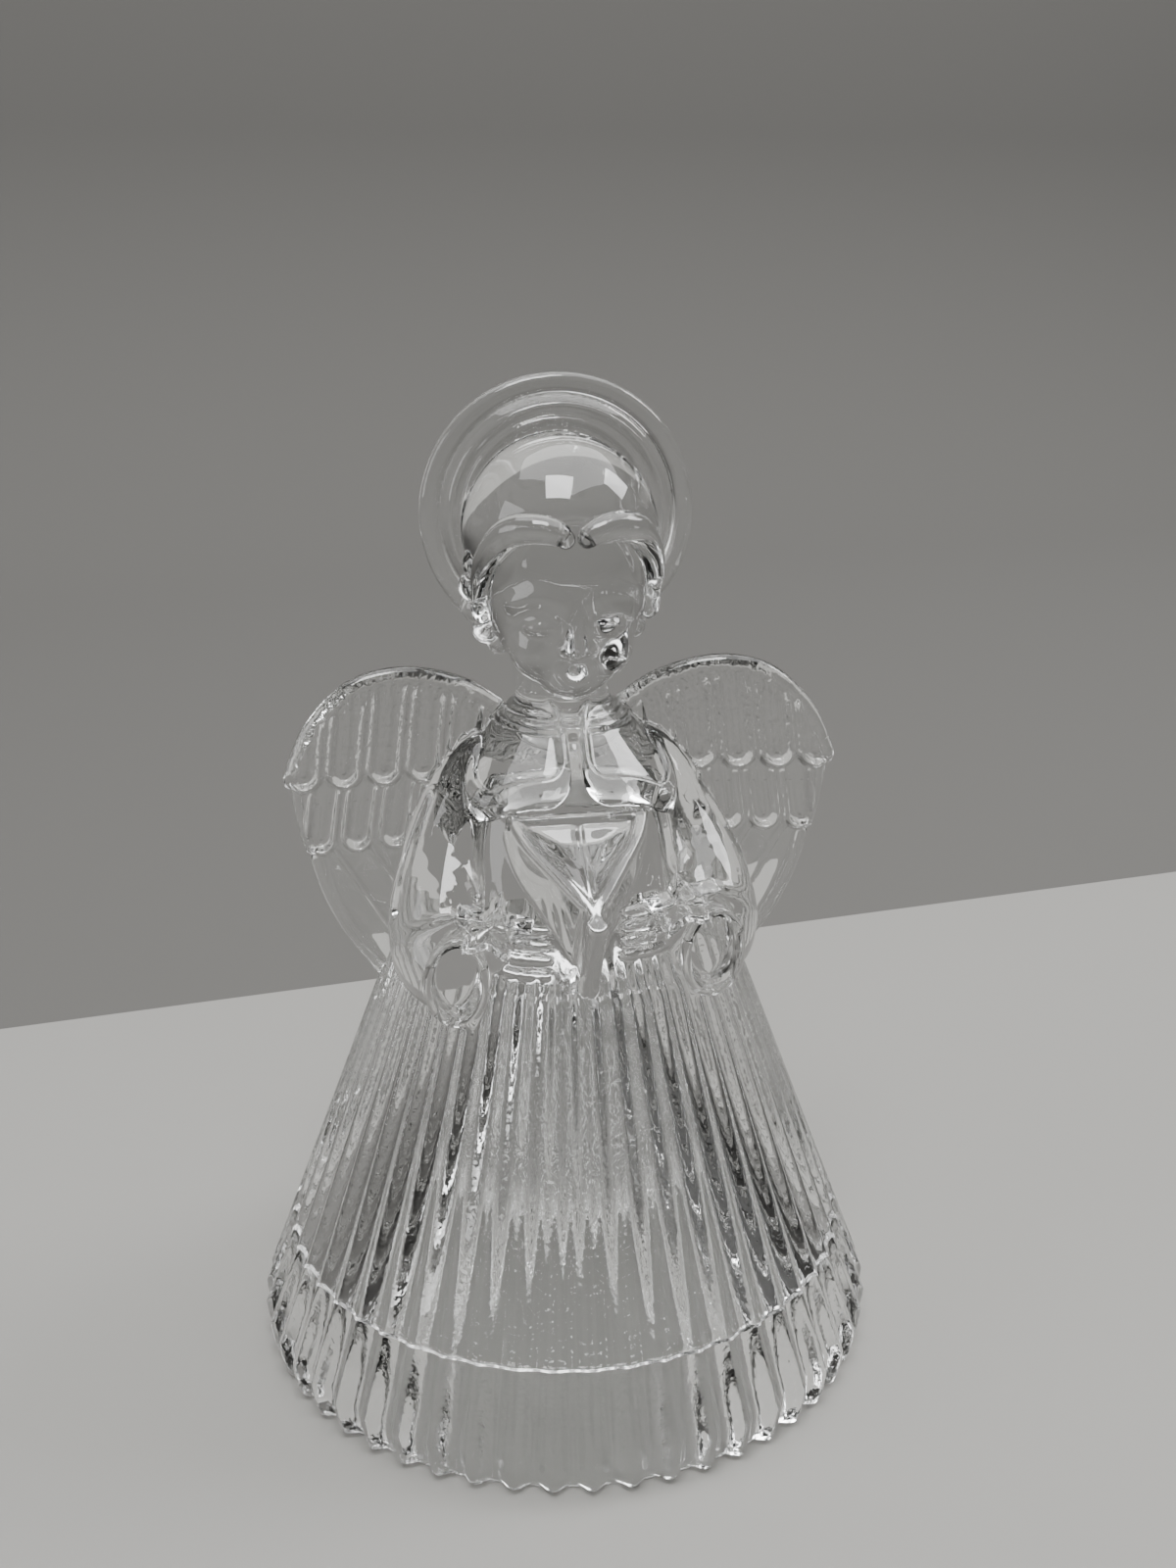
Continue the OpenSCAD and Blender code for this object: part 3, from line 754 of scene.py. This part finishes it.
def head(x, y, z):
    """A round cherub's head: full cheeks, a small nose, closed lids and a singing mouth."""
    side = np.abs(x)
    cheek = ellipsoid(side, y, z, (4.4, FACE_Y + 3.9, 98.6), (2.9, 2.8, 2.9))
    brow = tube(side, y, z, [[1.6, FACE_Y + 1.9, 105.2, 0.6], [4.2, FACE_Y + 2.2, 105.9, 0.7],
                             [6.8, FACE_Y + 3.6, 104.9, 0.5]], 3)
    chin = ellipsoid(x, y, z, (0, FACE_Y + 3.4, 94.9), (3.2, 2.5, 2.1))
    face = smooth_min(smooth_min(skull(x, y, z), cheek, 2.2), brow, 1.8)
    face = smooth_min(face, nose(side, y, z), 1.1)
    face = smooth_min(face, chin, 2.4)
    return singing_mouth(closed_eyes(face, side, y, z), x, y, z)


COMB_LINES, COMB_DEPTH = 9, 0.08
NAPE = [[0, 2.2, 90, 5.3, 6, 4], [0, 2.2, 96, 5.6, 7, 4], [0, 2, 102, 7, 8.2, 5]]
FRINGE = np.array([[1.3, -12.1, 113.1, 1.2], [2.3, -11.9, 113.8, 1.5], [4.8, -11.1, 114.3, 1.8],
                   [7.6, -9.4, 113.6, 1.9], [9.7, -7.2, 110.8, 1.7], [10.6, -5.2, 107.6, 1.4],
                   [10.8, -3.8, 104.6, 1.0]])


def hair(x, y, z):
    """A smooth cap combed down from the crown to the nape, and a rolled fringe parted in the middle
    with a groove above the roll."""
    low, high = box("hair")
    half = (high[0] - low[0]) / 2
    middle_y, middle_z = 1.0, high[2] - half - 0.4
    angle = np.arctan2(x, 2.0 - y)
    comb = np.cos(COMB_LINES * angle + 1.6 * np.sin(0.25 * (z - middle_z))) * smooth_step(y, 2, 7)
    cap = ellipsoid(x, y, z, (0, middle_y, middle_z), (half, half, half + 0.4))
    cap = smooth_min(cap, string(x, y, z, NAPE, 2, 3), 3) + COMB_DEPTH * comb
    face_opening = ellipsoid(x, y, z, (0, -13.6, 102.5), (9.4, 12, 13))
    cap = smooth_max(cap, -face_opening, 0.8)
    side = np.abs(x)
    roll = tube(side, y, z, FRINGE)
    groove_above = tube(side, y, z, FRINGE * (1, 1, 1, 0.3) + (0.7, -0.4, 2.1, 0))
    return smooth_min(smooth_max(cap, -groove_above, 0.6), roll, 0.25)


def curls(x, y, z):
    """The ear, and curls behind it down to the nape."""
    distance = AIR
    for at, half in (((11.1, -1.4, 108.4), (1.6, 2.1, 1.9)), ((11.4, 0.6, 105.2), (1.6, 2.1, 1.9)),
                     ((10.8, 2, 102), (1.8, 2, 1.9)), ((9.5, 2.8, 99), (1.7, 2, 1.8)),
                     ((7.7, 3.2, 97), (1.5, 1.8, 1.4))):
        distance = smooth_min(distance, ellipsoid(x, y, z, at, half), 0.6)
    ear = ellipsoid(x, y, z, (10.4, -3.4, 103.6), (1.5, 1.4, 2.5))
    bowl = ellipsoid(x, y, z, (11.6, -4.6, 103.8), (0.9, 1, 1.5))
    return smooth_min(distance, smooth_max(ear, -bowl, 0.5), 0.5)


# ---- halo ----

HALO_AT = center("halo_ring")
HALO_R = (box("halo_ring")[1][2] - box("halo_ring")[0][2]) / 2
HALO_RIM = 2.4
HALO_RAYS = 48


def halo_across(x, z):
    return np.sqrt(x ** 2 + (z - HALO_AT[2]) ** 2)


def halo_ring(x, y, z):
    """The thick rim, whose section is a square with well rounded corners."""
    flat, corner_r = 0.35, 0.85
    out = np.abs(halo_across(x, z) - HALO_R + HALO_RIM / 2) - flat
    deep = np.abs(y - HALO_AT[1]) - flat
    corner = np.sqrt(np.maximum(out, 0) ** 2 + np.maximum(deep, 0) ** 2)
    return corner + np.minimum(np.maximum(out, deep), 0) - corner_r


def halo_disc(x, y, z):
    """A thin plate with fine rays, a ridge round them, and a hollow band just inside the rim."""
    across = halo_across(x, z)
    inner = HALO_R - HALO_RIM
    band = 0.9 * bump_line(across, inner - 0.1, 0.4) - 1.1 * bump_line(across, inner - 1.5, 0.75)
    ridge = 0.7 * bump_line(across, inner - 3.3, 0.5)
    angle = np.arctan2(x, z - HALO_AT[2])
    rays = 0.05 * np.cos(HALO_RAYS * angle) * smooth_step(across, inner - 3.2, inner - 4.5)
    front = HALO_AT[1] - 0.35 + band - ridge - rays
    back = HALO_AT[1] + 1.0
    return smooth_max(np.maximum(front - y, y - back), across - inner - 0.5, 0.4)


# ---- wings ----

WING_BACK_Y, WING_SWEEP = 4.6, math.tan(math.radians(7))
FEATHER_T, FEATHER_LEN = 2.2, 30
COVERTS_FULL_Z, SECONDARIES_FULL_Z = 84.4, 75.6
PRIMARY_W, PRIMARY_STEP = 4.1, 1.1
WING_TOP = curve([[8, 88.8], [13, 92.1], [20, 94], [26.7, 92.8], [31.9, 88], [34.6, 82.4],
                  [34.8, 81.2]], 6)
WING_SIDE = curve([[34.2, 79.8], [33.9, 77], [33.4, 74], [32.8, 71.8]], 2)
WING_TIP = curve([[32.1, 70.4], [30.8, 65.4], [28.4, 60], [25, 54.8], [22, 50]], 3)
WING_OUTLINE = np.vstack([WING_TOP, WING_SIDE, WING_TIP, [[16, 54], [9, 70]]])


def feather_row(x, z, first, spacing, count, low_z, radius, lean):
    """Distance to a row of long rounded feathers that hang side by side."""
    distance = AIR
    along = np.clip(z - low_z, 0, FEATHER_LEN)
    for i in range(count):
        across = x - (first + spacing * i) + lean * along
        distance = np.minimum(distance, np.sqrt(across ** 2 + (z - low_z - along) ** 2) - radius)
    return distance


def covert_field(x, z):
    return feather_row(x, z, 12.9, 5.1, 5, 82.3, 2.6, 0.12)


def secondary_field(x, z):
    return feather_row(x, z, 12.4, 4.8, 5, 73.4, 2.45, 0.15)


def feather_relief(distance):
    """A feather's raised rim, the dip inside it, and a low quill along its middle."""
    return 1.2 * bump_line(distance, -0.7, 0.4) + 0.4 * bump_line(distance, -2.5, 0.4)


def wing_front(x, z):
    """Thickness of the wing: two rows of feathers with raised outlines, and slanting steps below."""
    coverts = covert_field(x, z)
    secondaries = secondary_field(x, z)
    across = 0.866 * x - 0.5 * z + 5.3
    vane = np.mod(-across, PRIMARY_W) / PRIMARY_W
    primaries = PRIMARY_STEP * (1 - vane) * smooth_step(vane, 0, 0.14)
    below = FEATHER_T - 0.9 + primaries
    middle = FEATHER_T - 0.3 + feather_relief(secondaries)
    upper = FEATHER_T + 0.2 + feather_relief(coverts)
    shoulder = smooth_step(z + 0.35 * np.abs(x - 20), 91.5, 93.5)
    thickness = below + (middle - below) * smooth_step(secondaries, 0.25, -0.2)
    thickness = np.where(z > 78, np.maximum(thickness, FEATHER_T - 0.1), thickness)
    upper_share = smooth_step(coverts, 0.25, -0.2)
    return thickness + (upper - thickness) * upper_share * (1 - 0.6 * shoulder)


def wing_plate(x, y, z):
    behind = WING_BACK_Y - WING_SWEEP * x - y
    flat_x, flat_z = x[:, :, 0], z[0, :, :]
    edge = outline(flat_x, flat_z, WING_OUTLINE)[:, None, :]
    front = wing_front(flat_x, flat_z)[:, None, :]
    plate = smooth_max(behind - front, -behind, 0.4)
    return smooth_max(plate, edge, 1.2)


def edge_bead(x, y, z, path, start_r, end_r, inset):
    """A tapering bead along an edge of the wing."""
    radii = np.linspace(start_r, end_r, len(path))
    depth = WING_BACK_Y - WING_SWEEP * path[:, 0] - inset
    stations = np.column_stack([path[:, 0], depth, path[:, 1], radii])
    return tube(x, y, z, stations, 1)


def wing_part(x, y, z, above, below):
    """The wing's plate, less what belongs to the row above it and the row below it."""
    plate = wing_plate(x, y, z)
    flat_x, flat_z = x[:, :, 0], z[0, :, :]
    share = np.full(np.broadcast(flat_x, flat_z).shape, -AIR)
    if above is not None:
        share = np.maximum(share, -above(flat_x, flat_z))
    if below is not None:
        share = np.maximum(share, below(flat_x, flat_z))
    return np.maximum(plate, share[:, None, :])


def covert_zone(x, z):
    """Negative on the coverts, and on all of the wing above them."""
    return np.minimum(covert_field(x, z), COVERTS_FULL_Z - z)


def secondary_zone(x, z):
    """Negative on the secondaries, and on all of the wing above them."""
    return np.minimum(secondary_field(x, z), SECONDARIES_FULL_Z - z)


def coverts(x, y, z):
    return wing_part(x, y, z, None, covert_zone)


def secondaries(x, y, z):
    plate = wing_part(x, y, z, covert_zone, secondary_zone)
    return np.minimum(plate, edge_bead(x, y, z, WING_SIDE, 0.75, 0.7, 1.3))


def primaries(x, y, z):
    plate = wing_part(x, y, z, secondary_zone, None)
    return np.minimum(plate, edge_bead(x, y, z, WING_TIP, 0.85, 0.7, 1.1))


def wing_rim(x, y, z):
    return edge_bead(x, y, z, WING_TOP, 1.25, 1.0, 1.6)


# ---- melting, meshing and sharing out ----

ARM = (sleeve, cuff, cuff_pocket, hand, star)


def on_side(form, side):
    """The form as it is on that side: the right arm's forms are raised."""
    return raised(form) if side == RIGHT and form in ARM else form


def melt():
    """Every form above the skirt's cut, melted together in one block."""
    gap = 1.5
    left = np.array(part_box("wing_rim_left")[0]) / MM
    right = np.array(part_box("wing_rim_right")[1]) / MM
    reach = max(right[0], -left[0]) + gap
    back = box("hair")[1][1] + gap
    front = box("book_spine")[0][1] - gap
    top = box("halo_ring")[1][2] + gap
    block = Glass((-reach, front, SPLIT_Z - GRID_STEP / 2), (reach, back, top), GRID_STEP)
    block.add("skirt", skirt_top, 0.5)
    block.add("bodice", bodice, 0.8)
    block.add("neck", neck, 0.5)
    block.add("collar_band", collar_band, 0.4)
    block.add("head", head, 0.6)
    block.add("hair", hair, 0.5, margin=10)
    block.add("halo_disc", halo_disc, 0.5)
    block.add("halo_ring", halo_ring, 0.5)
    for side, name in ((RIGHT, "right"), (LEFT, "left")):
        for node, form, soft in (
                ("curls_", curls, 0.4), ("wing_rim_", wing_rim, 0.5), ("coverts_", coverts, 0.2),
                ("secondaries_", secondaries, 0.2), ("primaries_", primaries, 0.2),
                ("sleeve_", sleeve, 0.8), ("cuff_", cuff, 0.6)):
            block.add(node + name, on_side(form, side), soft, side)
    for side in (RIGHT, LEFT):
        block.carve(CUFF - (5, 8, 7), CUFF + (5, 6, 9), on_side(cuff_pocket, side), 0.5, side)
    for side, name in ((RIGHT, "right"), (LEFT, "left")):
        for node, form, soft in (("collar_", collar, 0.4), ("hand_", hand, 0.4), ("star_", star, 0.1),
                                 ("book_cover_", book_cover, 0.3)):
            block.add(node + name, on_side(form, side), soft, side)
    block.add("book_pages", book_pages, 0.2)
    block.add("book_spine", book_spine, 0.3)
    block.carve((-16, -16, SPLIT_Z - 1), (16, 16, HOLLOW_TOP_Z + 2), hollow, 0.2)
    return block


def make_piece(node, points, faces, joints, normals, finish):
    """The piece that stands for a node. Joints are its faces against other nodes."""
    mesh = bpy.data.meshes.new(node)
    mesh.from_pydata((points * MM).tolist(), [], faces.tolist(), shade_flat=False)
    mesh.materials.append(finish)
    mesh.materials.append(JOINT)
    mesh.polygons.foreach_set("material_index", joints.astype(np.int32))
    mesh.normals_split_custom_set(normals.reshape(-1, 3))
    piece = bpy.data.objects.new(node + "_glass", mesh)
    bpy.context.scene.collection.objects.link(piece)
    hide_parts(node)
    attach(piece, "root")


def share_out(block, finishes):
    """Makes each node's piece from its own closed share of the block's surface."""
    points, normals, quads, marks, bottom = block.surface(SPLIT_Z)
    for label, node in enumerate(block.names[1:], start=1):
        outward = marks[:, 0] == label
        inward = marks[:, 1] == label
        faces = np.vstack([quads[outward], quads[inward][:, ::-1]])
        met = np.concatenate([marks[outward, 1], marks[inward, 0]]) != 0
        under = bottom[faces].all(axis=1)
        used, index = np.unique(faces.ravel(), return_inverse=True)
        faces = index.reshape(faces.shape)
        mesh = points[used], faces, met | under, normals[used][faces]
        if node == "skirt":
            mesh = joined(mesh, lathe(skirt_bands()))
        make_piece(node, *mesh, finishes.get(node.split("_")[0], finishes["plain"]))


def joined(first, second):
    """Two sets of points, faces, joints and corner normals as one."""
    faces = np.vstack([first[1], second[1] + len(first[0])])
    return (np.vstack([first[0], second[0]]), faces,
            np.concatenate([first[2], second[2]]), np.vstack([first[3], second[3]]))


make_camera()
make_floor()
make_studio()
JOINT = clear_joint()
FINISHES = {
    "plain": glass("glass_plain", wave_depth=0.04),
    "skirt": glass("glass_ribbed", wave_depth=0.05, grain_depth=0.04, grain_size=0.8),
    "coverts": glass("glass_chased", wave_depth=0.03, grain_depth=0.14, grain_size=0.9),
}
share_out(melt(), FINISHES)
for node, bands in (("hem", hem_bands()), ("foot_ring", foot_bands())):
    make_piece(node, *lathe(bands), FINISHES["skirt"])
